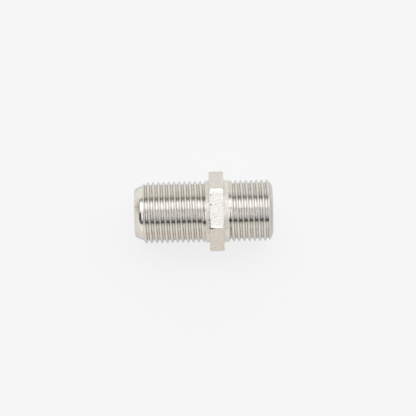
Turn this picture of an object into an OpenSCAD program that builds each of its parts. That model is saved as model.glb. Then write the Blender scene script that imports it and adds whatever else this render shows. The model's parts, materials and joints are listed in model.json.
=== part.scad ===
// Coaxial F coupler: a threaded, hexagon-flanged shell with a socket at each end.
// The axis is X. The origin is on the axis, in the flange's face towards the long barrel,
// and a flat of the hexagon faces down.

/* [Thread] */
// Diameter over the thread crests
thread_d = 9.36; // [9.2:0.02:9.6]
// Distance from one crest to the next
thread_pitch = 0.79375; // [0.7:0.00625:0.9]
// How far the plain collars beside the flange stand proud of the crests
collar_step = 0.02; // [0.02:0.02:0.2]

/* [Flange] */
// Hexagon, measured across its flats
flange_flats = 10.6; // [10.2:0.1:13]
// Thickness of the hexagon
flange_w = 2.2; // [1.2:0.1:5]
// Break on the hexagon's corners
flange_break = 0.2; // [0.05:0.05:0.5]

/* [Long barrel] */
// Length from the flange to the rolled end
long_l = 11.3; // [10:0.1:16]
// Plain collar between the flange and the thread
long_collar = 0.5; // [0.4:0.1:2]
// From the flange to the first crest on the top
long_crest = 1.12; // [0.4:0.02:1.2]
// Plain nose in front of the thread
nose_l = 1.1; // [1:0.05:2]
// Diameter of the nose where it starts to roll in
nose_d = 8.2; // [7.8:0.1:8.3]
// Inner radius of the rolled edge
inner_roll_r = 0.6; // [0.6:0.05:0.9]
// Angle through which the edge is rolled in
roll_angle = 48; // [45:1:70]
// Opening inside the rolled edge
lip_d = 5.9; // [5.2:0.1:6.1]
// How far the rolled edge closes in past the bore
lip_h = 0.35; // [0.25:0.05:0.7]

/* [Short barrel] */
// Length from the flange to the flat end
short_l = 7.4; // [6:0.1:12]
// Plain collar between the flange and the thread
short_collar = 0.72; // [0.4:0.02:2]
// From the flange to the first crest on the top
short_crest = 1.25; // [0.5:0.05:1.3]
// Diameter of the flat end, inside its chamfer
short_end_d = 7.4; // [7:0.1:7.8]
// Thickness of the wall that closes the end
end_wall = 0.8; // [0.5:0.1:1.5]
// Opening in that wall
mouth_d = 5.2; // [4.6:0.1:5.8]
// Countersink on the opening
mouth_sink = 0.25; // [0.1:0.05:0.4]

/* [Insulators] */
// Play round an insulator
insulator_play = 0.05; // [0.02:0.01:0.1]
// How far an insulator's face stands behind the shell's end
face_recess = 0.35; // [0.1:0.05:0.5]
// Thickness of an insulator's front wall
front_wall = 1.6; // [1.2:0.1:2.2]
// Entry hole for the cable's centre conductor
entry_d = 1.5; // [1.3:0.05:1.8]
// Diameter of the funnel round the entry hole
funnel_d = 2.6; // [2.2:0.1:3.2]
// Depth of that funnel
funnel_depth = 0.5; // [0.3:0.05:0.8]

/* [Centre contact] */
// Outer diameter of the contact's tube
contact_d = 2.3; // [2:0.1:2.6]
// Thickness of the tube's wall
contact_t = 0.25; // [0.15:0.01:0.3]
// Inner diameter where the fingers pinch
pinch_d = 0.7; // [0.5:0.05:0.9]
// Inner diameter of the flared mouth
flare_d = 1.5; // [1.3:0.05:1.7]
// Distance from the mouth to the pinch
pinch_at = 0.9; // [0.6:0.1:1.4]
// Length of the fingers
finger_l = 4.6; // [3:0.1:6]
// Width of the slots between the fingers
slot_w = 0.3; // [0.15:0.05:0.4]
// Diameter of the ring that the insulators trap
ring_d = 3.4; // [3:0.1:4]
// Width of that ring
ring_w = 0.8; // [0.5:0.1:1.4]
// Play round the contact
contact_play = 0.1; // [0.05:0.01:0.15]

/* [Hidden] */
$fn = 96;

// Thread form: 60 degree flanks, an eighth of the pitch flat at the crest and a sixth at the root
flank_angle = 30;
crest_flat = thread_pitch / 8;
root_flat = thread_pitch / 6;
thread_r = thread_d / 2;
root_r = thread_r - (thread_pitch - crest_flat - root_flat) / 2 / tan(flank_angle);
collar_r = thread_r + collar_step;
// A ridge of the thread is rooted this deep in its barrel
ridge_root = 0.06;
// Sides of a ridge's section, and straight stretches in one of its turns
ridge_sides = 4;
turn_steps = 36;
// Angle about the axis at which a ridge's crest is placed: straight up
top_angle = 90;
// Slope of the chamfers that start the threads, against the end faces
start_angle = 30;

hexagon_sides = 6;
corner_r = flange_flats / 2 / cos(180 / hexagon_sides);
// A hexagon starts with a corner, so this turns a flat down
flat_down = 180 / hexagon_sides;
// Slope of the chamfer that breaks the hexagon's corners, against its faces
break_angle = 30;

long_end = -long_l;
short_end = flange_w + short_l;
thread_start_long = long_end + nose_l;
lip_r = lip_d / 2;
mouth_r = mouth_d / 2;
// The bore holds both insulators
bore_r = lip_r + lip_h;

// The rolled edge carries on the wall between the bore and the nose,
// and turns about this point, as [radius, place along the axis]
nose_r = nose_d / 2;
roll_r = inner_roll_r + nose_r - bore_r;
roll_centre = [bore_r - inner_roll_r, long_end + roll_r * sin(roll_angle)];
arc_steps = 10;

// Insulators meet here, at the middle of the shell
meeting = (long_end + short_end) / 2;
insulator_r = bore_r - insulator_play;
long_face = long_end + face_recess;
short_face = short_end - face_recess;
short_stop = short_end - end_wall;
contact_r = contact_d / 2;
contact_ends = [long_face + front_wall + contact_play, short_face - front_wall - contact_play];
entry_r = entry_d / 2;
well_r = contact_r + contact_play;
ring_r = ring_d / 2;
// Two slots that cross at right angles cut each end of the contact into four fingers
slot_turns = [45, 135];
// Whatever is cut away reaches this far past what it cuts
cut_past = 1;

// Points of an arc, as [radius, place along the axis], with 0 degrees straight out from the axis
function arc(centre, r, from, to) = [
    for (i = [0 : arc_steps])
        let (a = from + (to - from) * i / arc_steps)
        [centre[0] + r * cos(a), centre[1] + r * sin(a)]
];

// Angle at which an arc about a point reaches a radius, on the side of the long barrel's end
function angle_at_radius(centre, r, radius) = -acos((radius - centre[0]) / r);

function reversed(points) = [for (i = [len(points) - 1 : -1 : 0]) points[i]];

// Turns a profile of [radius, place] points about the X axis
module turned(points) {
    rotate([0, 90, 0])
        rotate_extrude()
            polygon(points);
}

// Blank of the shell: both barrels at the thread's root, and the collars, each with a sloping edge
module blank() {
    edge_l = (collar_r - root_r) * tan(flank_angle);
    turned([
        [0, long_end],
        [root_r, long_end],
        [root_r, -long_collar - edge_l],
        [collar_r, -long_collar],
        [collar_r, flange_w + short_collar],
        [root_r, flange_w + short_collar + edge_l],
        [root_r, short_end],
        [0, short_end]
    ]);
}

// Section of a ridge at one step, from its root to its crest, as points in space
function ridge_section(place, angle) =
    let (
        foot_r = root_r - ridge_root,
        crest_w = crest_flat / 2,
        foot_w = crest_w + (thread_r - foot_r) * tan(flank_angle),
        corners = [[foot_r, -foot_w], [foot_r, foot_w], [thread_r, crest_w], [thread_r, -crest_w]]
    )
    [
        for (corner = corners)
            [place + corner[1], corner[0] * cos(angle), corner[0] * sin(angle)]
    ];

// Right-hand helical ridge from one place on the axis to another; a crest passes the top at crest_place
module thread_ridge(from, to, crest_place) {
    steps = round((to - from) / thread_pitch * turn_steps);
    start_angle = top_angle + 360 * (from - crest_place) / thread_pitch;
    points = [
        for (i = [0 : steps])
            each ridge_section(from + i * thread_pitch / turn_steps, start_angle + i * 360 / turn_steps)
    ];
    sides = [
        for (i = [0 : steps - 1], k = [0 : ridge_sides - 1])
            let (here = i * ridge_sides, next = here + ridge_sides, beside = (k + 1) % ridge_sides)
            each [
                [here + k, next + beside, here + beside],
                [here + k, next + k, next + beside]
            ]
    ];
    first_end = [for (k = [0 : ridge_sides - 1]) k];
    last_end = [for (k = first_end) len(points) - 1 - k];
    polyhedron(points, concat(sides, [first_end, last_end]));
}

// What the lathe takes off in front of the long thread: the rolled nose and the thread's start
module nose_cut() {
    rise = collar_r + cut_past - nose_r;
    turned(concat(
        arc(roll_centre, roll_r, -roll_angle, 0),
        [
            [nose_r + rise, thread_start_long + rise * tan(start_angle)],
            [nose_r + rise, long_end - cut_past],
            [roll_centre[0], long_end - cut_past],
            [roll_centre[0], long_end]
        ]
    ));
}

// What it takes off at the short end: a chamfer
module end_cut() {
    rise = collar_r + cut_past - short_end_d / 2;
    turned([
        [short_end_d / 2, short_end],
        [short_end_d / 2 + rise, short_end - rise * tan(start_angle)],
        [short_end_d / 2 + rise, short_end + cut_past],
        [short_end_d / 2, short_end + cut_past]
    ]);
}

// Hexagon with its corners broken by a turned chamfer on both faces
module flange() {
    break_l = flange_break * tan(break_angle);
    intersection() {
        rotate([0, 90, 0])
            rotate([0, 0, flat_down])
                cylinder(h = flange_w, r = corner_r, $fn = hexagon_sides);
        turned([
            [0, 0],
            [corner_r - flange_break, 0],
            [corner_r, break_l],
            [corner_r, flange_w - break_l],
            [corner_r - flange_break, flange_w],
            [0, flange_w]
        ]);
    }
}

// Inside of the shell: lip opening, rolled shoulder, bore, end wall's opening and its countersink
module shell_bore() {
    turned(concat(
        [[0, long_end - cut_past], [lip_r, long_end - cut_past]],
        arc(roll_centre, inner_roll_r, angle_at_radius(roll_centre, inner_roll_r, lip_r), 0),
        [
            [bore_r, short_stop],
            [mouth_r, short_stop],
            [mouth_r, short_end - mouth_sink],
            [mouth_r + mouth_sink, short_end],
            [mouth_r + mouth_sink, short_end + cut_past],
            [0, short_end + cut_past]
        ]
    ));
}

module body() {
    long_from = thread_start_long - thread_pitch;
    short_to = short_end + thread_pitch / 2;
    color([0.80, 0.77, 0.72])
        difference() {
            union() {
                blank();
                flange();
                thread_ridge(long_from, -long_collar / 2, -long_crest);
                thread_ridge(flange_w + short_collar / 2, short_to, flange_w + short_crest);
            }
            nose_cut();
            end_cut();
            shell_bore();
        }
}

// Hollow of an insulator, seen from its face: funnel, entry hole, well for the contact and ring seat
module insulator_hollow(face, inward) {
    floor_at = face + inward * front_wall;
    seat_at = meeting - inward * (ring_w / 2 + contact_play);
    turned([
        [0, face - inward * cut_past],
        [funnel_d / 2, face - inward * cut_past],
        [funnel_d / 2, face],
        [entry_r, face + inward * funnel_depth],
        [entry_r, floor_at],
        [well_r, floor_at],
        [well_r, seat_at],
        [ring_r + contact_play, seat_at],
        [ring_r + contact_play, meeting + inward * cut_past],
        [0, meeting + inward * cut_past]
    ]);
}

// Its shoulder fills the rolled edge, and its face shows in the opening
module insulator_long() {
    shoulder_r = inner_roll_r - insulator_play;
    boss_r = lip_r - insulator_play;
    color([0.93, 0.92, 0.88])
        difference() {
            turned(concat(
                [[0, long_face], [boss_r, long_face]],
                arc(roll_centre, shoulder_r, angle_at_radius(roll_centre, shoulder_r, boss_r), 0),
                [[insulator_r, meeting], [0, meeting]]
            ));
            insulator_hollow(long_face, 1);
        }
}

// Its shoulder stands on the end wall, and its boss fills the opening there
module insulator_short() {
    color([0.93, 0.92, 0.88])
        difference() {
            turned([
                [0, meeting],
                [insulator_r, meeting],
                [insulator_r, short_stop],
                [mouth_r - insulator_play, short_stop],
                [mouth_r - insulator_play, short_face],
                [0, short_face]
            ]);
            insulator_hollow(short_face, -1);
        }
}

// One end of the contact's outside, from its mouth inwards; less the wall, it is the inside
function finger_outline(end, inward, wall) = [
    [flare_d / 2 + contact_t - wall, end],
    [pinch_d / 2 + contact_t - wall, end + inward * pinch_at],
    [contact_r - wall, end + inward * finger_l]
];

// Slots from one mouth of the contact to the roots of its fingers
module finger_slots(end, inward) {
    slot_l = finger_l + cut_past;
    for (turn = slot_turns)
        rotate([turn, 0, 0])
            translate([end + inward * (finger_l - cut_past) / 2, 0, 0])
                cube([slot_l, contact_d + 2 * cut_past, slot_w], center = true);
}

module centre_contact() {
    color([0.78, 0.62, 0.32])
        difference() {
            union() {
                turned(concat(
                    finger_outline(contact_ends[0], 1, 0),
                    reversed(finger_outline(contact_ends[1], -1, 0)),
                    finger_outline(contact_ends[1], -1, contact_t),
                    reversed(finger_outline(contact_ends[0], 1, contact_t))
                ));
                turned([
                    [contact_r - contact_t, meeting - ring_w / 2],
                    [ring_r, meeting - ring_w / 2],
                    [ring_r, meeting + ring_w / 2],
                    [contact_r - contact_t, meeting + ring_w / 2]
                ]);
            }
            finger_slots(contact_ends[0], 1);
            finger_slots(contact_ends[1], -1);
        }
}

body();
insulator_long();
insulator_short();
centre_contact();
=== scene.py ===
import json
import math

import bmesh
import bpy
from mathutils import Matrix, Vector


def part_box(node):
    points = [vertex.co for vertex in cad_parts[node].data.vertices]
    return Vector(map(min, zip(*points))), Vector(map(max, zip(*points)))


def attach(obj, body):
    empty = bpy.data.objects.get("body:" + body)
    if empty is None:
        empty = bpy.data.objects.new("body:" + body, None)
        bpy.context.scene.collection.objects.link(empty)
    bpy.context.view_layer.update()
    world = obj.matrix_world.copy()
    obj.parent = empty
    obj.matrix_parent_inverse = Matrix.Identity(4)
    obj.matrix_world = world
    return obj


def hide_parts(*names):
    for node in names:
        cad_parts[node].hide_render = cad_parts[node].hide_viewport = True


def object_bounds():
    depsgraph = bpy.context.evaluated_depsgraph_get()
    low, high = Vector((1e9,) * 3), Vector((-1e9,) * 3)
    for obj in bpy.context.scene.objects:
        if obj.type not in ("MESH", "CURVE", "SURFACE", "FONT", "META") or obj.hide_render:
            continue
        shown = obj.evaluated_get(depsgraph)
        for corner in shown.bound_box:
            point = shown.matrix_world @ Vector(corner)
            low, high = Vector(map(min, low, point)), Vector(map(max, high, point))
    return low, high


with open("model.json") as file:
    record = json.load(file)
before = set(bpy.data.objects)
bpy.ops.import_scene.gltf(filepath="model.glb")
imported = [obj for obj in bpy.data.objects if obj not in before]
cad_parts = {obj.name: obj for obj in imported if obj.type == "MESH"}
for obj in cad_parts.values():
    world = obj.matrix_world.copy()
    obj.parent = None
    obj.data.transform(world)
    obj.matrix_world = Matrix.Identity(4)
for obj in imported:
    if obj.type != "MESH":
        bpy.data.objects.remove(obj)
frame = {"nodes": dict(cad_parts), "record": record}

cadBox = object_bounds()
mm = 0.001
turnSteps = 96        # straight stretches in a full turn; the hexagon's six sides divide it
mergeWithin = 0.0005  # mm
smoothAngle = 40      # degrees; a sharper edge keeps its line
bandPitch = 0.314     # metres from band to band of a wave texture with a scale of 1
noiseLow, noiseHigh = 0.3, 0.7  # most of a noise texture lies between them
mounts = {mount["name"]: mount for mount in frame["record"]["mounts"]}


def place(name):
    return mounts[name]["pos_m"][0] / mm


def boxOf(node):
    low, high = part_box(node)
    return low / mm, high / mm


def arc(centre, radius, start, end, steps):
    # points of an arc as (place along the axis, radius), 0 degrees straight out from the axis
    turns = [math.radians(start + (end - start) * i / steps) for i in range(steps + 1)]
    return [(centre[0] + radius * math.sin(t), centre[1] + radius * math.cos(t)) for t in turns]


def chain(bm, points):
    verts = [bm.verts.new((x, r, 0)) for x, r in points]
    for pair in zip(verts, verts[1:]):
        bm.edges.new(pair)
    return verts


def roundCorner(bm, point, size):
    at = Vector((*point, 0))
    corner = min(bm.verts, key=lambda vert: (vert.co - at).length)
    bmesh.ops.bevel(bm, geom=[corner], offset=size, offset_type="OFFSET", segments=3,
                    profile=0.5, affect="VERTICES", material=-1, clamp_overlap=True)


def turn(bm, points, corners=(), closed=False):
    # turns a profile about the X axis; corners are (number in the profile, rounding)
    part = bmesh.new()
    verts = chain(part, points)
    if closed:
        part.edges.new((verts[-1], verts[0]))
    for number, size in corners:
        roundCorner(part, points[number], size)
    bmesh.ops.spin(part, geom=part.verts[:] + part.edges[:], cent=(0, 0, 0), axis=(1, 0, 0),
                   angle=math.tau, steps=turnSteps, use_merge=True)
    join(bm, part)


def join(bm, part):
    mesh = bpy.data.meshes.new("part")
    part.to_mesh(mesh)
    part.free()
    bm.from_mesh(mesh)
    bpy.data.meshes.remove(mesh)


def finished(name, bm, materials):
    # closes the seams, turns the faces outwards and brings the millimetres to metres
    bmesh.ops.remove_doubles(bm, verts=bm.verts[:], dist=mergeWithin)
    bmesh.ops.recalc_face_normals(bm, faces=bm.faces[:])
    openEdges = sum(not edge.is_manifold for edge in bm.edges)
    bmesh.ops.scale(bm, vec=(mm, mm, mm), verts=bm.verts[:])
    for face in bm.faces:
        face.smooth = True
    mesh = bpy.data.meshes.new(name)
    bm.to_mesh(mesh)
    bm.free()
    mesh.set_sharp_from_angle(angle=math.radians(smoothAngle))
    for material in materials:
        mesh.materials.append(material)
    piece = bpy.data.objects.new(name, mesh)
    bpy.context.scene.collection.objects.link(piece)
    weighted = piece.modifiers.new("face weights", "WEIGHTED_NORMAL")
    weighted.keep_sharp = True
    print(name, len(mesh.polygons), "faces,", openEdges, "open edges")
    return piece


def linear(hexColour):
    levels = [int(hexColour[i:i + 2], 16) / 255 for i in (1, 3, 5)]
    return [v / 12.92 if v <= 0.04045 else ((v + 0.055) / 1.055) ** 2.4 for v in levels] + [1]


def newMaterial(name):
    material = bpy.data.materials.new(name)
    material.use_nodes = True
    tree = material.node_tree
    return material, tree, tree.nodes["Principled BSDF"]


def add(tree, kind, settings=None, values=None, links=None):
    node = tree.nodes.new(kind)
    for key, value in (settings or {}).items():
        setattr(node, key, value)
    for key, value in (values or {}).items():
        node.inputs[key].default_value = value
    for key, socket in (links or {}).items():
        tree.links.new(socket, node.inputs[key])
    return node


def fillRamp(ramp, stops):
    # stops are (place from 0 to 1, colour)
    elements = ramp.color_ramp.elements
    elements.remove(elements[-1])
    for index, (position, colour) in enumerate(stops):
        stop = elements.new(position) if index else elements[0]
        stop.position = position
        stop.color = colour


bodyLow, bodyHigh = boxOf("body")

nickel = {
    "stain": "#85807B",       # thinner plating and painted shade half way up the flanks of the thread, painted shade in the hollows of the pebble
    "pit": "#6A655F",         # pinholes, down to the metal
    "grime": "#6B645C",       # in the burr along one edge of the hexagon, and in the worn rim
    "grainSize": 0.17,        # mm, the pebble of the plating, drawn coarse enough to show
    "grainDepth": 0.009,      # mm
    "grainShade": 0.3,        # share of painted shade in the hollows of the pebble
    "hollows": (0.35, 0.6),   # heights of the pebble between which that share runs out
    "waveSize": 0.9,          # mm, the slow unevenness that bends the highlights
    "waveDepth": 0.05,        # mm
    "rippleSize": 0.4,        # mm, the chatter of the cutting tools
    "rippleDepth": 0.02,      # mm
    "toolMarks": 0.07,        # mm, the feed of the turning tool, drawn coarse enough to show
    "spread": 0.25,           # share by which the roughness goes up and down
}

# each of the next four functions is one mark: a trace of making or of use, and on the flanks also painted
# shade; from the sockets of the place and of the patterns there it works out how much of the mark shows,
# and gives that and a colour

flankStainAndShade = {
    "low": 4.1, "high": 4.6,  # mm off the axis
    # how much stain and painted shade there is on the way from one to the other
    "amounts": [(0.06, 0.0), (0.14, 0.0), (0.22, 0.1), (0.28, 1.0), (0.36, 1.0), (0.44, 0.0), (0.7, 0.0)],
    "least": 0.55,            # share of it that is left where the patches are lightest
}


def stainedShadedFlanks(tree, at):
    # dull rings half way up the flanks, patchy along the thread: partly thinner plating, partly painted
    # shade in the grooves
    across = add(tree, "ShaderNodeCombineXYZ", links={"Y": at["y"], "Z": at["z"]})
    fromAxis = add(tree, "ShaderNodeVectorMath", {"operation": "LENGTH"}, links={0: across.outputs[0]})
    height = add(tree, "ShaderNodeMapRange",
                 values={"From Min": flankStainAndShade["low"] * mm, "From Max": flankStainAndShade["high"] * mm},
                 links={"Value": fromAxis.outputs["Value"]})
    amount = add(tree, "ShaderNodeValToRGB", links={"Fac": height.outputs["Result"]})
    fillRamp(amount, [(position, (level, level, level, 1)) for position, level in flankStainAndShade["amounts"]])
    patchy = add(tree, "ShaderNodeMapRange",
                 values={"From Min": noiseLow, "From Max": noiseHigh,
                         "To Min": flankStainAndShade["least"], "To Max": 1.0},
                 links={"Value": at["wave"]})
    share = add(tree, "ShaderNodeMath", {"operation": "MULTIPLY"},
                links={0: amount.outputs["Color"], 1: patchy.outputs["Result"]})
    return share.outputs[0], nickel["stain"]


pinholes = {
    "spacing": 0.34,          # mm
    "largest": 0.5,           # share of the spacing, by the face towards the long barrel
    "smallest": 0.12,         # the same across the rest of the flat
    "from": 0.3, "to": 0.7,   # mm from that face, over which they get smaller
    "above": 5.1,             # mm, so that they are on the upper flat alone
}


def pinholedFlat(tree, at):
    # dark pinholes in the plating of the upper flat, most of them beside one face
    cells = add(tree, "ShaderNodeTexVoronoi", {"feature": "F1"}, {"Scale": 1 / (pinholes["spacing"] * mm)},
                {"Vector": at["spot"]})
    chance = add(tree, "ShaderNodeSeparateColor", links={0: cells.outputs["Color"]})
    limit = add(tree, "ShaderNodeMapRange",
                values={"From Min": pinholes["from"] * mm, "From Max": pinholes["to"] * mm,
                        "To Min": pinholes["largest"], "To Max": pinholes["smallest"]},
                links={"Value": at["x"]})
    onFlat = add(tree, "ShaderNodeMath", {"operation": "GREATER_THAN"}, {1: pinholes["above"] * mm},
                 {0: at["z"]})
    limit = add(tree, "ShaderNodeMath", {"operation": "MULTIPLY"},
                links={0: limit.outputs["Result"], 1: onFlat.outputs[0]})
    size = add(tree, "ShaderNodeMath", {"operation": "MULTIPLY"},
               links={0: limit.outputs[0], 1: chance.outputs[0]})
    hole = add(tree, "ShaderNodeMath", {"operation": "LESS_THAN"},
               links={0: cells.outputs["Distance"], 1: size.outputs[0]})
    return hole.outputs[0], nickel["pit"]


edgeGrime = {
    "centre": (-0.2, -3.02, 5.2), "reach": 1.2,   # mm, on the edge, by the long barrel
    "wide": 0.22, "narrow": 0.02,                 # mm on each side of the edge
    "wideAt": -1.0, "narrowAt": 1.1,              # mm along the axis
    "ragged": 0.3,                                # mm
    "strength": 0.9,
}


def grimyEdge(tree, at):
    # a ragged dark line in the burr between two flats, which runs out along the edge
    away = add(tree, "ShaderNodeVectorMath", {"operation": "DISTANCE"},
               {1: [value * mm for value in edgeGrime["centre"]]}, {0: at["spot"]})
    near = add(tree, "ShaderNodeMath", {"operation": "LESS_THAN"}, {1: edgeGrime["reach"] * mm},
               {0: away.outputs["Value"]})
    beside = add(tree, "ShaderNodeMath", {"operation": "SUBTRACT"}, {1: edgeGrime["centre"][1] * mm},
                 {0: at["y"]})
    beside = add(tree, "ShaderNodeMath", {"operation": "ABSOLUTE"}, links={0: beside.outputs[0]})
    ragged = add(tree, "ShaderNodeMath", {"operation": "MULTIPLY_ADD"},
                 {1: edgeGrime["ragged"] * mm, 2: -edgeGrime["ragged"] / 2 * mm}, {0: at["pebble"]})
    beside = add(tree, "ShaderNodeMath", {"operation": "ADD"},
                 links={0: beside.outputs[0], 1: ragged.outputs[0]})
    width = add(tree, "ShaderNodeMapRange",
                values={"From Min": edgeGrime["wideAt"] * mm, "From Max": edgeGrime["narrowAt"] * mm,
                        "To Min": edgeGrime["wide"] * mm, "To Max": edgeGrime["narrow"] * mm},
                links={"Value": at["x"]})
    inLine = add(tree, "ShaderNodeMath", {"operation": "LESS_THAN"},
                 links={0: beside.outputs[0], 1: width.outputs["Result"]})
    share = add(tree, "ShaderNodeMath", {"operation": "MULTIPLY"},
                links={0: inLine.outputs[0], 1: near.outputs[0]})
    share = add(tree, "ShaderNodeMath", {"operation": "MULTIPLY"}, {1: edgeGrime["strength"]},
                {0: share.outputs[0]})
    return share.outputs[0], nickel["grime"]


rimWear = {
    "size": 0.22,             # mm
    "strength": 0.42,
    "from": 0.03, "to": 0.8,  # mm from the long end
    "patches": (0.58, 0.66),  # heights of the noise between which a scuff comes up
}


def wornRim(tree, at):
    # small dark scuffs round the rolled end, where plugs have rubbed it; none on its flat face
    near = add(tree, "ShaderNodeMapRange",
               values={"From Min": bodyLow.x * mm, "From Max": (bodyLow.x + rimWear["to"]) * mm,
                       "To Min": rimWear["strength"], "To Max": 0.0},
               links={"Value": at["x"]})
    behind = add(tree, "ShaderNodeMath", {"operation": "GREATER_THAN"},
                 {1: (bodyLow.x + rimWear["from"]) * mm}, {0: at["x"]})
    noise = add(tree, "ShaderNodeTexNoise", values={"Scale": 1 / (rimWear["size"] * mm), "Detail": 2.0},
                links={"Vector": at["spot"]})
    patch = add(tree, "ShaderNodeMapRange",
                values={"From Min": rimWear["patches"][0], "From Max": rimWear["patches"][1]},
                links={"Value": noise.outputs["Fac"]})
    share = add(tree, "ShaderNodeMath", {"operation": "MULTIPLY"},
                links={0: near.outputs["Result"], 1: patch.outputs["Result"]})
    share = add(tree, "ShaderNodeMath", {"operation": "MULTIPLY"},
                links={0: share.outputs[0], 1: behind.outputs[0]})
    return share.outputs[0], nickel["grime"]


def nickelPlate(name, finish, traces=()):
    # bright nickel over brass: mirror-like, so the room shows as bands, with a soft unevenness
    # that breaks up the bands, and fine pebbling where the bar was only drawn
    material, tree, shader = newMaterial(name)
    spot = add(tree, "ShaderNodeTexCoord").outputs["Object"]
    parts = add(tree, "ShaderNodeSeparateXYZ", links={0: spot})
    wave = add(tree, "ShaderNodeTexNoise", values={"Scale": 1 / (nickel["waveSize"] * mm), "Detail": 3.0},
               links={"Vector": spot})
    ripple = add(tree, "ShaderNodeTexNoise",
                 values={"Scale": 1 / (nickel["rippleSize"] * mm), "Detail": 1.0},
                 links={"Vector": spot})
    pebble = add(tree, "ShaderNodeTexNoise",
                 values={"Scale": 1 / (nickel["grainSize"] * mm), "Detail": 2.0, "Roughness": 0.6},
                 links={"Vector": spot})
    rings = add(tree, "ShaderNodeTexWave", {"wave_type": "BANDS", "bands_direction": "X"},
                {"Scale": bandPitch / (nickel["toolMarks"] * mm), "Distortion": 0.6, "Detail": 2.0},
                {"Vector": spot})
    # painted shade: the colour darkens towards the hollows of the pebble
    hollows = add(tree, "ShaderNodeMapRange",
                  values={"From Min": nickel["hollows"][0], "From Max": nickel["hollows"][1],
                          "To Min": nickel["grainShade"] * finish["grain"], "To Max": 0.0},
                  links={"Value": pebble.outputs["Fac"]})
    colour = add(tree, "ShaderNodeMix", {"data_type": "RGBA"},
                 {6: linear(finish["colour"]), 7: linear(nickel["stain"])},
                 {0: hollows.outputs["Result"]})
    at = {"spot": spot, "x": parts.outputs["X"], "y": parts.outputs["Y"], "z": parts.outputs["Z"],
          "wave": wave.outputs["Fac"], "pebble": pebble.outputs["Fac"]}
    for trace in traces:
        share, tint = trace(tree, at)
        colour = add(tree, "ShaderNodeMix", {"data_type": "RGBA"}, {7: linear(tint)},
                     {0: share, 6: colour.outputs[2]})
    tree.links.new(colour.outputs[2], shader.inputs["Base Color"])
    rough = add(tree, "ShaderNodeMapRange",
                values={"From Min": noiseLow, "From Max": noiseHigh,
                        "To Min": finish["roughness"] * (1 - nickel["spread"]),
                        "To Max": finish["roughness"] * (1 + nickel["spread"])},
                links={"Value": wave.outputs["Fac"]})
    tree.links.new(rough.outputs["Result"], shader.inputs["Roughness"])
    relief = add(tree, "ShaderNodeBump", values={"Strength": 1.0, "Distance": finish["marks"] * mm},
                 links={"Height": rings.outputs["Fac"]})
    for pattern, strength, depth in ((pebble, finish["grain"], nickel["grainDepth"]),
                                     (ripple, finish["waves"], nickel["rippleDepth"]),
                                     (wave, finish["waves"], nickel["waveDepth"])):
        relief = add(tree, "ShaderNodeBump", values={"Strength": strength, "Distance": depth * mm},
                     links={"Height": pattern.outputs["Fac"], "Normal": relief.outputs["Normal"]})
    tree.links.new(relief.outputs["Normal"], shader.inputs["Normal"])
    shader.inputs["Metallic"].default_value = 1.0
    return material


# grain and waves are strengths, marks is the depth of the tool marks in mm; the collars' coarser cut is
# rougher, and their colour is painted lighter for the light they catch from the hexagon
turnedFinish = {"colour": "#EFEDE9", "roughness": 0.08, "grain": 0.02, "marks": 0.0002, "waves": 0.18}
drawnFinish = {"colour": "#EFEDE9", "roughness": 0.16, "grain": 1.0, "marks": 0.0, "waves": 0.25}
coarsePaintedLightFinish = {"colour": "#FAF7F2", "roughness": 0.6, "grain": 0.5, "marks": 0.002, "waves": 0.5}

turnedNickel = nickelPlate("bright nickel on turned brass", turnedFinish, (stainedShadedFlanks, wornRim))
drawnNickel = nickelPlate("bright nickel on drawn hexagon bar", drawnFinish, (pinholedFlat, grimyEdge))
# the collars' nickel: rougher, and painted a lighter colour for the light it catches from the hexagon
coarsePaintedLightNickel = nickelPlate("bright nickel on coarsely turned brass", coarsePaintedLightFinish)

# mm and degrees; places along the axis, radii from it
shell = {
    "pitch": 25.4 / 32, "flankAngle": 30,
    "crestFlat": 1 / 8, "rootFlat": 1 / 6,    # shares of the pitch
    "threadRadius": mounts["long_thread"]["dims"]["r_mm"],
    "collarRadius": mounts["panel_collar"]["dims"]["r_mm"],
    "longEnd": bodyLow.x, "shortEnd": bodyHigh.x,
    "flangeNear": place("flange_seat"), "flangeFar": place("flange_back"),
    "longCollar": mounts["panel_collar"]["dims"]["length_mm"],
    "shortCollar": mounts["short_collar"]["dims"]["length_mm"],
    "longCrest": -1.12, "shortCrest": 3.45,   # where a crest passes the top
    "crestRounding": 0.045, "rootRounding": 0.05,
    "noseLength": 1.28, "noseRadius": 4.1, "shoulder": 1.3, "coneAngle": 28, "startSlope": 13,
    "rollAngle": 48, "innerRoll": 0.6, "lipRadius": 2.95,
    "boreRadius": 3.3, "endWall": 0.8, "mouthRadius": 2.6, "countersink": 0.25, "endRadius": 3.7,
    "rimCorner": 0.12, "lipCorner": 0.08, "mouthCorner": 0.04, "endCorner": 0.08,
    "cornerRounding": 0.16, "rimRounding": 0.07, "cornerBreak": 0.3,
}
flankSlope = math.tan(math.radians(shell["flankAngle"]))
flankWidth = shell["pitch"] * (1 - shell["crestFlat"] - shell["rootFlat"]) / 2
rootRadius = shell["threadRadius"] - flankWidth / flankSlope
longStart = shell["longEnd"] + shell["noseLength"]
shortStop = shell["shortEnd"] - (rootRadius - shell["endRadius"]) * flankSlope
# the long end is rolled in about this circle
rollCentre = (shell["longEnd"] + (shell["innerRoll"] + shell["noseRadius"] - shell["boreRadius"])
              * math.sin(math.radians(shell["rollAngle"])), shell["boreRadius"] - shell["innerRoll"])


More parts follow.
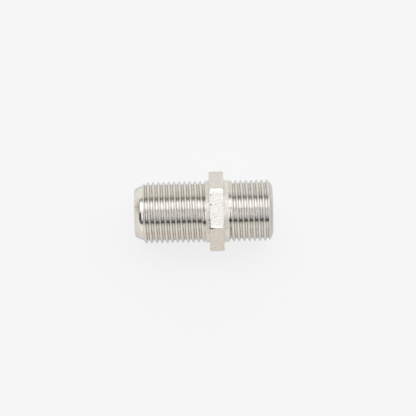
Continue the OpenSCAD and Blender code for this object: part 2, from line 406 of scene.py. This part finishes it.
def threadedBarrel(bm, start, end, crestPlace, leftByLathe):
    # one turn of the thread is spun, the rest are copies a pitch apart; leftByLathe then gives
    # each point the radius that the cutting tools leave there
    pitch = shell["pitch"]
    middle = crestPlace - pitch / 4
    half = pitch / 2
    crest = pitch * shell["crestFlat"] / 2
    root = half - pitch * shell["rootFlat"] / 2
    part = bmesh.new()
    profile = [(-half, rootRadius), (-root, rootRadius), (-crest, shell["threadRadius"]),
               (crest, shell["threadRadius"]), (root, rootRadius), (half, rootRadius)]
    profile = [(middle + x, r) for x, r in profile]
    chain(part, profile)
    for number, rounding in ((1, "rootRounding"), (2, "crestRounding"),
                             (3, "crestRounding"), (4, "rootRounding")):
        roundCorner(part, profile[number], shell[rounding])
    flanks = [edge for edge in part.edges if edge.calc_length() > pitch / 4]
    bmesh.ops.subdivide_edges(part, edges=flanks, cuts=5)
    bmesh.ops.spin(part, geom=part.verts[:] + part.edges[:], cent=(0, 0, 0), axis=(1, 0, 0),
                   dvec=(pitch / turnSteps, 0, 0), angle=math.tau, steps=turnSteps)
    firstTurn = part.verts[:] + part.edges[:] + part.faces[:]
    low = math.floor((start - middle - half) / pitch)
    high = math.ceil((end - middle - half) / pitch)
    for number in range(low, high + 1):
        copy = bmesh.ops.duplicate(part, geom=firstTurn)["geom"]
        bmesh.ops.translate(part, vec=(number * pitch, 0, 0),
                            verts=[v for v in copy if isinstance(v, bmesh.types.BMVert)])
    bmesh.ops.delete(part, context="VERTS",
                     geom=[g for g in firstTurn if isinstance(g, bmesh.types.BMVert)])
    for vert in part.verts:
        x = min(max(vert.co.x, start), end)
        around = Vector((0, vert.co.y, vert.co.z))
        radius = leftByLathe(x, around.length)
        vert.co = Vector((x, 0, 0)) + around.normalized() * radius
    bmesh.ops.remove_doubles(part, verts=part.verts[:], dist=mergeWithin)
    join(bm, part)


def collarSlope(distance):
    # radius of the collar's sloping edge, at a distance from the collar along the axis
    return shell["collarRadius"] - distance / flankSlope


def longBarrel(bm):
    end = shell["flangeNear"] - shell["longCollar"]

    def leftByLathe(x, radius):
        rise = (x - longStart) / math.tan(math.radians(shell["startSlope"]))
        return max(min(radius, shell["noseRadius"] + rise), collarSlope(end - x))

    threadedBarrel(bm, longStart, end, shell["longCrest"], leftByLathe)


def shortBarrel(bm):
    start = shell["flangeFar"] + shell["shortCollar"]

    def leftByLathe(x, radius):
        rise = (shell["shortEnd"] - x) / flankSlope
        return max(min(radius, shell["endRadius"] + rise), collarSlope(x - start))

    threadedBarrel(bm, start, shortStop, shell["shortCrest"], leftByLathe)


def endsAndBore(bm):
    # one profile, from the nose over the rolled lip, through the bore and out round the mouth
    lipTurn = math.degrees(math.acos((shell["lipRadius"] - rollCentre[1]) / shell["innerRoll"]))
    stop = shell["shortEnd"] - shell["endWall"]
    points = arc((longStart, shell["noseRadius"] - shell["shoulder"]), shell["shoulder"],
                 0, -shell["coneAngle"], 8)
    rim = len(points)
    coneDrop = (points[-1][0] - shell["longEnd"]) * math.tan(math.radians(shell["coneAngle"]))
    points += [(shell["longEnd"], points[-1][1] - coneDrop), (shell["longEnd"], shell["lipRadius"])]
    points += arc(rollCentre, shell["innerRoll"], -lipTurn, 0, 6)
    mouth = len(points) + 3
    points += [(stop, shell["boreRadius"]), (stop, shell["mouthRadius"]),
               (shell["shortEnd"] - shell["countersink"], shell["mouthRadius"]),
               (shell["shortEnd"], shell["mouthRadius"] + shell["countersink"]),
               (shell["shortEnd"], shell["endRadius"]), (shortStop, rootRadius)]
    turn(bm, points, [(rim, shell["rimCorner"]), (rim + 1, shell["lipCorner"]),
                      (mouth, shell["mouthCorner"]), (mouth + 1, shell["endCorner"])])


def collars(bm):
    part = bmesh.new()
    turn(part, [(shell["flangeNear"] - shell["longCollar"], shell["collarRadius"]),
                (shell["flangeNear"], shell["collarRadius"])])
    turn(part, [(shell["flangeFar"], shell["collarRadius"]),
                (shell["flangeFar"] + shell["shortCollar"], shell["collarRadius"])])
    # painted light: the collars take the nickel painted lighter
    for face in part.faces:
        face.material_index = 2
    join(bm, part)


def breakCorners(part):
    # the lathe takes the hexagon's corners back in an arc at both faces
    outermost = max(math.hypot(v.co.y, v.co.z) for v in part.verts)
    size = shell["cornerBreak"]
    for vert in part.verts:
        inside = max(0, min(vert.co.x - shell["flangeNear"], shell["flangeFar"] - vert.co.x))
        if inside < size:
            limit = outermost - size + math.sqrt(size ** 2 - (size - inside) ** 2)
            radius = math.hypot(vert.co.y, vert.co.z)
            vert.co.yz = vert.co.yz * min(1, limit / radius)


def hexagonFlange(bm):
    # a length of hexagon bar, its corners and rims broken, with a ring of faces to each collar
    part = bmesh.new()
    width = shell["flangeFar"] - shell["flangeNear"]
    cornerRadius = (bodyHigh.z - bodyLow.z) / 2 / math.cos(math.pi / 6)
    middle = (shell["flangeFar"] + shell["flangeNear"]) / 2
    toAxis = Matrix.Translation((middle, 0, 0)) @ Matrix.Rotation(math.pi / 2, 4, "Y")
    bmesh.ops.create_cone(part, cap_ends=True, segments=6, radius1=cornerRadius, radius2=cornerRadius,
                          depth=width, matrix=toAxis)
    alongAxis = [e for e in part.edges if abs(e.verts[0].co.x - e.verts[1].co.x) > width / 2]
    cornerSteps = 4
    bmesh.ops.bevel(part, geom=alongAxis, offset=shell["cornerRounding"], offset_type="OFFSET",
                    segments=cornerSteps, profile=0.5, affect="EDGES", material=-1)
    sides = [e for e in part.edges if e.calc_length() > cornerRadius / 2
             and abs(e.verts[0].co.x - e.verts[1].co.x) < width / 2]
    bmesh.ops.subdivide_edges(part, edges=sides, cuts=turnSteps // 6 - cornerSteps - 1)
    for side, inward in ((shell["flangeNear"], 1), (shell["flangeFar"], -1)):
        for step in range(1, 6):
            cut = side + inward * (shell["rimRounding"] + step / 5 * shell["cornerBreak"])
            bmesh.ops.bisect_plane(part, geom=part.verts[:] + part.edges[:] + part.faces[:],
                                   plane_co=(cut, 0, 0), plane_no=(1, 0, 0), dist=0.0001)
    part.normal_update()
    rims = {e for f in part.faces if abs(f.normal.x) > 0.9 for e in f.edges}
    bmesh.ops.bevel(part, geom=list(rims), offset=shell["rimRounding"], offset_type="OFFSET", segments=2,
                    profile=0.5, affect="EDGES", material=-1)
    # the two end faces, alone in having so many corners, make way for the rings
    bmesh.ops.delete(part, geom=[f for f in part.faces if len(f.verts) > 12], context="FACES_ONLY")
    breakCorners(part)
    for face in part.faces:
        face.material_index = 1
    radius = shell["collarRadius"]
    for side in (shell["flangeNear"], shell["flangeFar"]):
        rim = [e for e in part.edges if e.is_boundary and all(abs(v.co.x - side) < 0.001 for v in e.verts)]
        inner = bmesh.ops.extrude_edge_only(part, edges=rim)["geom"]
        inner = [v for v in inner if isinstance(v, bmesh.types.BMVert)]
        inner.sort(key=lambda v: (math.atan2(v.co.z, v.co.y) + 0.001) % math.tau)
        for number, vert in enumerate(inner):
            turned = math.tau * number / turnSteps
            vert.co = (side, radius * math.cos(turned), radius * math.sin(turned))
    join(bm, part)


def makeShell():
    bm = bmesh.new()
    longBarrel(bm)
    shortBarrel(bm)
    endsAndBore(bm)
    collars(bm)
    hexagonFlange(bm)
    piece = finished("shell", bm, [turnedNickel, drawnNickel, coarsePaintedLightNickel])
    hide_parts("body")
    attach(piece, "root")


makeShell()

plastic = {
    "colour": "#EFECE2", "flow": "#E2DCCB",
    "roughness": 0.42,
    "flowSize": 1.6,                 # mm, the cloudiness where it flowed into the mould
    "skinSize": 0.12,                # mm, the mould's skin, drawn coarse enough to show
    "skinDepth": 0.006, "skinStrength": 0.3,         # mm, share
    "ior": 1.48,
    "litInside": 0.15, "litDepth": (1.2, 1.0, 0.8),  # share, and mm for red, green and blue
}


def mouldedPlastic():
    # cream acetal, moulded: a satin skin with a faint pebble, and a little light gets in
    material, tree, shader = newMaterial("moulded acetal")
    spot = add(tree, "ShaderNodeTexCoord").outputs["Object"]
    flow = add(tree, "ShaderNodeTexNoise", values={"Scale": 1 / (plastic["flowSize"] * mm), "Detail": 3.0},
               links={"Vector": spot})
    tint = add(tree, "ShaderNodeMix", {"data_type": "RGBA"},
               {6: linear(plastic["colour"]), 7: linear(plastic["flow"])}, {0: flow.outputs["Fac"]})
    tree.links.new(tint.outputs[2], shader.inputs["Base Color"])
    skin = add(tree, "ShaderNodeTexNoise", values={"Scale": 1 / (plastic["skinSize"] * mm), "Detail": 2.0},
               links={"Vector": spot})
    bump = add(tree, "ShaderNodeBump",
               values={"Strength": plastic["skinStrength"], "Distance": plastic["skinDepth"] * mm},
               links={"Height": skin.outputs["Fac"]})
    tree.links.new(bump.outputs["Normal"], shader.inputs["Normal"])
    shader.inputs["Roughness"].default_value = plastic["roughness"]
    shader.inputs["IOR"].default_value = plastic["ior"]
    shader.inputs["Subsurface Weight"].default_value = plastic["litInside"]
    shader.inputs["Subsurface Radius"].default_value = [depth * mm for depth in plastic["litDepth"]]
    shader.inputs["Subsurface Scale"].default_value = 1.0
    return material


acetal = mouldedPlastic()

# mm; radii from the axis, depths from the face of the insulator
insulator = {"play": 0.05, "frontWall": 1.6, "entryRadius": 0.75, "funnelRadius": 1.3, "funnelDepth": 0.5,
             "wellRadius": 1.25, "seatRadius": 1.8, "seatDepth": 0.5, "edge": 0.06}


def makeInsulator(name, node, outline, facePlace, meeting):
    inward = 1 if meeting > facePlace else -1
    inside = [(meeting, insulator["seatRadius"]),
              (meeting - inward * insulator["seatDepth"], insulator["seatRadius"]),
              (meeting - inward * insulator["seatDepth"], insulator["wellRadius"]),
              (facePlace + inward * insulator["frontWall"], insulator["wellRadius"]),
              (facePlace + inward * insulator["frontWall"], insulator["entryRadius"]),
              (facePlace + inward * insulator["funnelDepth"], insulator["entryRadius"]),
              (facePlace, insulator["funnelRadius"])]
    bm = bmesh.new()
    points = outline + inside
    edge = insulator["edge"]
    turn(bm, points, [(0, edge), (len(points) - 2, edge), (len(points) - 1, edge)], closed=True)
    piece = finished(name, bm, [acetal])
    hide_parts(node)
    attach(piece, "root")


def makeInsulators():
    radius = shell["boreRadius"] - insulator["play"]
    longLow, longHigh = boxOf("insulator_long")
    boss = shell["lipRadius"] - insulator["play"]
    shoulder = shell["innerRoll"] - insulator["play"]
    bossTurn = math.degrees(math.acos((boss - rollCentre[1]) / shoulder))
    makeInsulator("longInsulator", "insulator_long",
                  [(longLow.x, boss)] + arc(rollCentre, shoulder, -bossTurn, 0, 6) + [(longHigh.x, radius)],
                  longLow.x, longHigh.x)
    shortLow, shortHigh = boxOf("insulator_short")
    stop = shell["shortEnd"] - shell["endWall"]
    boss = shell["mouthRadius"] - insulator["play"]
    makeInsulator("shortInsulator", "insulator_short",
                  [(shortHigh.x, boss), (stop, boss), (stop, radius), (shortLow.x, radius)],
                  shortHigh.x, shortLow.x)


makeInsulators()

bronze = {
    "colour": "#C99B56", "dull": "#A87B3F",
    "roughness": 0.32,
    "streakSize": 0.25,       # mm across a streak, drawn coarse enough to show
    "streakStretch": 0.12,    # pattern's scale along the contact against across it
    "streakDepth": 0.005,     # mm
    "streakStrength": 0.3,
}


def springBronze():
    # rolled phosphor bronze strip: yellow-brown, with fine streaks along the contact
    material, tree, shader = newMaterial("rolled phosphor bronze")
    spot = add(tree, "ShaderNodeTexCoord").outputs["Object"]
    along = add(tree, "ShaderNodeMapping", values={"Scale": (bronze["streakStretch"], 1, 1)},
                links={"Vector": spot})
    streaks = add(tree, "ShaderNodeTexNoise",
                  values={"Scale": 1 / (bronze["streakSize"] * mm), "Detail": 3.0},
                  links={"Vector": along.outputs[0]})
    tint = add(tree, "ShaderNodeMix", {"data_type": "RGBA"},
               {6: linear(bronze["colour"]), 7: linear(bronze["dull"])}, {0: streaks.outputs["Fac"]})
    tree.links.new(tint.outputs[2], shader.inputs["Base Color"])
    bump = add(tree, "ShaderNodeBump",
               values={"Strength": bronze["streakStrength"], "Distance": bronze["streakDepth"] * mm},
               links={"Height": streaks.outputs["Fac"]})
    tree.links.new(bump.outputs["Normal"], shader.inputs["Normal"])
    shader.inputs["Metallic"].default_value = 1.0
    shader.inputs["Roughness"].default_value = bronze["roughness"]
    return material


contact = frame["nodes"]["centre_contact"]
contact.data.materials.clear()
contact.data.materials.append(springBronze())
print("insulators and contact done")

stage = {
    "floorSize": 3.0,                 # metres
    "floorColour": "#F6F6F7",
    "roughness": 0.95, "gloss": 0.1,
    "paperWhite": "#F8F8F9",
    "bleached": 0.84,                 # how little of the shadow shows
    # how the paper shows in the metal, by where it lies; the darker, warmer colour in front is painted
    # shade
    "paperBehind": "#F4F0E8", "paperInFront": "#E9E1D5",
    "paperBeside": "#EAEBEF",
    "besideFrom": 2.0,                # mm past the short end
    "paperUnder": "#CBCBCE",          # in the object's own shade
    "shadeFrom": 4.5, "shadeTo": 15,  # mm from the axis, over which that shade clears
}


def matPaper():
    # matt white paper; seen by the camera it is mostly plain white, and in the metal mostly a flat colour
    # by where it lies, so its shadow stays faint; that colour holds painted shade in front of the object
    # and painted shadow close under it
    material, tree, shader = newMaterial("matt paper")
    shader.inputs["Base Color"].default_value = linear(stage["floorColour"])
    shader.inputs["Roughness"].default_value = stage["roughness"]
    shader.inputs["Specular IOR Level"].default_value = stage["gloss"]
    rays = add(tree, "ShaderNodeLightPath")
    shown = add(tree, "ShaderNodeMath", {"operation": "MAXIMUM"},
                links={0: rays.outputs["Is Camera Ray"], 1: rays.outputs["Is Glossy Ray"]})
    shown = add(tree, "ShaderNodeMath", {"operation": "MAXIMUM"},
                links={0: shown.outputs[0], 1: rays.outputs["Is Transmission Ray"]})
    plainShare = add(tree, "ShaderNodeMath", {"operation": "MULTIPLY"}, {1: stage["bleached"]},
                     {0: shown.outputs[0]})
    spot = add(tree, "ShaderNodeTexCoord").outputs["Object"]
    parts = add(tree, "ShaderNodeSeparateXYZ", links={0: spot})
    behind = add(tree, "ShaderNodeMath", {"operation": "GREATER_THAN"}, {1: 0.0}, {0: parts.outputs["Y"]})
    beside = add(tree, "ShaderNodeMath", {"operation": "GREATER_THAN"},
                 {1: cadBox[1].x + stage["besideFrom"] * mm}, {0: parts.outputs["X"]})
    away = add(tree, "ShaderNodeMath", {"operation": "ABSOLUTE"}, links={0: parts.outputs["Y"]})
    clear = add(tree, "ShaderNodeMapRange",
                values={"From Min": stage["shadeFrom"] * mm, "From Max": stage["shadeTo"] * mm},
                links={"Value": away.outputs[0]})
    # painted shade in the metal's picture of the paper: darker in front of the object, and greyer still
    # close under it
    inMetal = add(tree, "ShaderNodeMix", {"data_type": "RGBA"},
                  {6: linear(stage["paperInFront"]), 7: linear(stage["paperBehind"])},
                  {0: behind.outputs[0]})
    inMetal = add(tree, "ShaderNodeMix", {"data_type": "RGBA"}, {7: linear(stage["paperBeside"])},
                  {0: beside.outputs[0], 6: inMetal.outputs[2]})
    inMetal = add(tree, "ShaderNodeMix", {"data_type": "RGBA"}, {6: linear(stage["paperUnder"])},
                  {0: clear.outputs["Result"], 7: inMetal.outputs[2]})
    paper = add(tree, "ShaderNodeMix", {"data_type": "RGBA"}, {6: linear(stage["paperWhite"])},
                {0: rays.outputs["Is Glossy Ray"], 7: inMetal.outputs[2]})
    white = add(tree, "ShaderNodeEmission", values={"Strength": 1.0}, links={"Color": paper.outputs[2]})
    mixed = add(tree, "ShaderNodeMixShader",
                links={0: plainShare.outputs[0], 1: shader.outputs[0], 2: white.outputs[0]})
    tree.links.new(mixed.outputs[0], tree.nodes["Material Output"].inputs["Surface"])
    return material


def makeFloor():
    bm = bmesh.new()
    bmesh.ops.create_grid(bm, x_segments=8, y_segments=8, size=stage["floorSize"] / 2,
                          matrix=Matrix.Translation((0, 0, cadBox[0].z)))
    mesh = bpy.data.meshes.new("floor")
    bm.to_mesh(mesh)
    bm.free()
    mesh.materials.append(matPaper())
    floor = bpy.data.objects.new("floor", mesh)
    bpy.context.scene.collection.objects.link(floor)


# light of the tent over the object by its angle from straight up, in degrees towards the back,
# with a level; to the left and right of it the tent is plain
tent = {
    "levels": [(-100, 0.86), (-75, 0.92), (-62, 0.86), (-55, 0.58), (-51, 0.12), (-45, 0.08), (-40, 0.45),
               (-34, 0.95), (-20, 1.45), (-8, 1.55), (-2, 1.22), (4, 0.9), (12, 1.55), (22, 1.7), (33, 1.7),
               (39, 1.35), (45, 0.88), (51, 0.42), (57, 0.33), (63, 0.6), (70, 0.84), (100, 0.95)],
    "horizonTint": (1.03, 1.0, 0.94), "horizon": 50,        # warmer past this angle
    "left": (0.82, 0.8, 0.75), "right": (0.86, 0.87, 0.9),  # plain colours of the two ends
    "sideFrom": 0.6, "sideTo": 0.72,                        # how far along X the ends take over
    "fromBehind": 1.2,                                      # slant of the light on matt surfaces
    # dark flags at each side of the camera draw the thin dark lines beside the crests and the
    # dark crescent on the nose, and a soft shade on the left dims its cone
    "flags": {"across": (0.3, 0.62), "lean": (-48, 2), "level": (0.12, 0.12, 0.12), "sharp": 0.8},
    "leftFlag": {"across": (-0.8, -0.24), "lean": (-48, -4), "level": (0.12, 0.12, 0.12), "sharp": 0.8},
    "leftShade": {"across": (-0.98, -0.45), "lean": (-32, 78), "level": (0.46, 0.42, 0.36), "sharp": 0.2},
}
brightest = max(level for angle, level in tent["levels"])


def tentColour(level, tint=(1, 1, 1)):
    # colours in the tent are shares of its brightest level, which is the strength of the world
    return [level / brightest * value for value in tint] + [1]


def blockOut(tree, places, flag):
    # 1 inside the flag and 0 outside it; it spans a range of X and a range of angles
    low, high = (math.radians(angle) for angle in flag["lean"])
    shade = None
    for value, start, end in ((places[0], *flag["across"]), (places[1], low, high)):
        half = (end - start) / 2
        off = add(tree, "ShaderNodeMath", {"operation": "SUBTRACT"}, {1: (start + end) / 2}, {0: value})
        off = add(tree, "ShaderNodeMath", {"operation": "ABSOLUTE"}, links={0: off.outputs[0]})
        inside = add(tree, "ShaderNodeMapRange", {"interpolation_type": "SMOOTHSTEP"},
                     {"From Min": half * flag["sharp"], "From Max": half, "To Min": 1.0, "To Max": 0.0},
                     {"Value": off.outputs[0]})
        if shade:
            inside = add(tree, "ShaderNodeMath", {"operation": "MULTIPLY"},
                         links={0: shade.outputs[0], 1: inside.outputs[0]})
        shade = inside
    return shade.outputs[0]


def makeTent():
    world = bpy.data.worlds.new("light tent")
    bpy.context.scene.world = world
    world.use_nodes = True
    tree = world.node_tree
    background = tree.nodes["Background"]
    towards = add(tree, "ShaderNodeTexCoord").outputs["Generated"]
    parts = add(tree, "ShaderNodeSeparateXYZ", links={0: towards})
    lean = add(tree, "ShaderNodeMath", {"operation": "ARCTAN2"},
               links={0: parts.outputs["Y"], 1: parts.outputs["Z"]})
    first = tent["levels"][0][0]
    span = tent["levels"][-1][0] - first
    along = add(tree, "ShaderNodeMapRange",
                values={"From Min": math.radians(first), "From Max": math.radians(first + span)},
                links={"Value": lean.outputs[0]})
    roof = add(tree, "ShaderNodeValToRGB", links={"Fac": along.outputs["Result"]})
    fillRamp(roof, [((angle - first) / span,
                     tentColour(level, tent["horizonTint"] if abs(angle) > tent["horizon"] else (1, 1, 1)))
                    for angle, level in tent["levels"]])
    sideways = add(tree, "ShaderNodeMath", {"operation": "ABSOLUTE"}, links={0: parts.outputs["X"]})
    aside = add(tree, "ShaderNodeMapRange", {"interpolation_type": "SMOOTHSTEP"},
                {"From Min": tent["sideFrom"], "From Max": tent["sideTo"]}, {"Value": sideways.outputs[0]})
    onRight = add(tree, "ShaderNodeMath", {"operation": "GREATER_THAN"}, {1: 0.0}, {0: parts.outputs["X"]})
    ends = add(tree, "ShaderNodeMix", {"data_type": "RGBA"},
               {6: tentColour(1, tent["left"]), 7: tentColour(1, tent["right"])}, {0: onRight.outputs[0]})
    light = add(tree, "ShaderNodeMix", {"data_type": "RGBA"},
                links={0: aside.outputs["Result"], 6: roof.outputs["Color"], 7: ends.outputs[2]})
    for across, name in ((parts.outputs["X"], "leftShade"), (parts.outputs["X"], "leftFlag"),
                         (sideways.outputs[0], "flags")):
        shade = blockOut(tree, (across, lean.outputs[0]), tent[name])
        light = add(tree, "ShaderNodeMix", {"data_type": "RGBA"}, {7: tentColour(1, tent[name]["level"])},
                    {0: shade, 6: light.outputs[2]})
    tree.links.new(light.outputs[2], background.inputs["Color"])
    # matt surfaces are lit more from behind, so the shadow falls in front of the object
    rays = add(tree, "ShaderNodeLightPath")
    bias = add(tree, "ShaderNodeMath", {"operation": "MULTIPLY"}, {1: tent["fromBehind"] * brightest},
               {0: parts.outputs["Y"]})
    strength = add(tree, "ShaderNodeMath", {"operation": "MULTIPLY_ADD"}, {2: brightest},
                   {0: bias.outputs[0], 1: rays.outputs["Is Diffuse Ray"]})
    tree.links.new(strength.outputs[0], background.inputs["Strength"])
    # the camera sees the paper go on behind the floor
    paper = add(tree, "ShaderNodeBackground",
                values={"Color": linear(stage["paperWhite"]), "Strength": 1.0})
    seen = add(tree, "ShaderNodeMixShader",
               links={0: rays.outputs["Is Camera Ray"], 1: background.outputs[0], 2: paper.outputs[0]})
    tree.links.new(seen.outputs[0], tree.nodes["World Output"].inputs["Surface"])


# degrees and mm; across is the width of the view at the object
view = {
    "elevation": 85.1, "azimuth": 1.8, "roll": 1.29,
    "distance": 300, "across": 63.3,
    "target": (-0.192, 0.527, 0),
    "clip": (0.01, 20),   # metres
}


def makeCamera():
    data = bpy.data.cameras.new("camera")
    data.lens = data.sensor_width * view["distance"] / view["across"]
    data.clip_start, data.clip_end = view["clip"]
    camera = bpy.data.objects.new("camera", data)
    up = math.radians(view["elevation"])
    side = math.radians(view["azimuth"])
    away = Vector((math.cos(up) * math.sin(side), -math.cos(up) * math.cos(side), math.sin(up)))
    across = Vector((0, 1, 0)).cross(away).normalized()
    upward = away.cross(across)
    level = Matrix((across, upward, away)).transposed().to_4x4()
    rolled = level @ Matrix.Rotation(-math.radians(view["roll"]), 4, "Z")
    target = Vector(view["target"])
    camera.matrix_world = Matrix.Translation((target + away * view["distance"]) * mm) @ rolled
    bpy.context.scene.collection.objects.link(camera)
    bpy.context.scene.camera = camera


makeFloor()
makeTent()
makeCamera()
bpy.context.scene.view_settings.view_transform = "Standard"
print("stage, light and camera done")
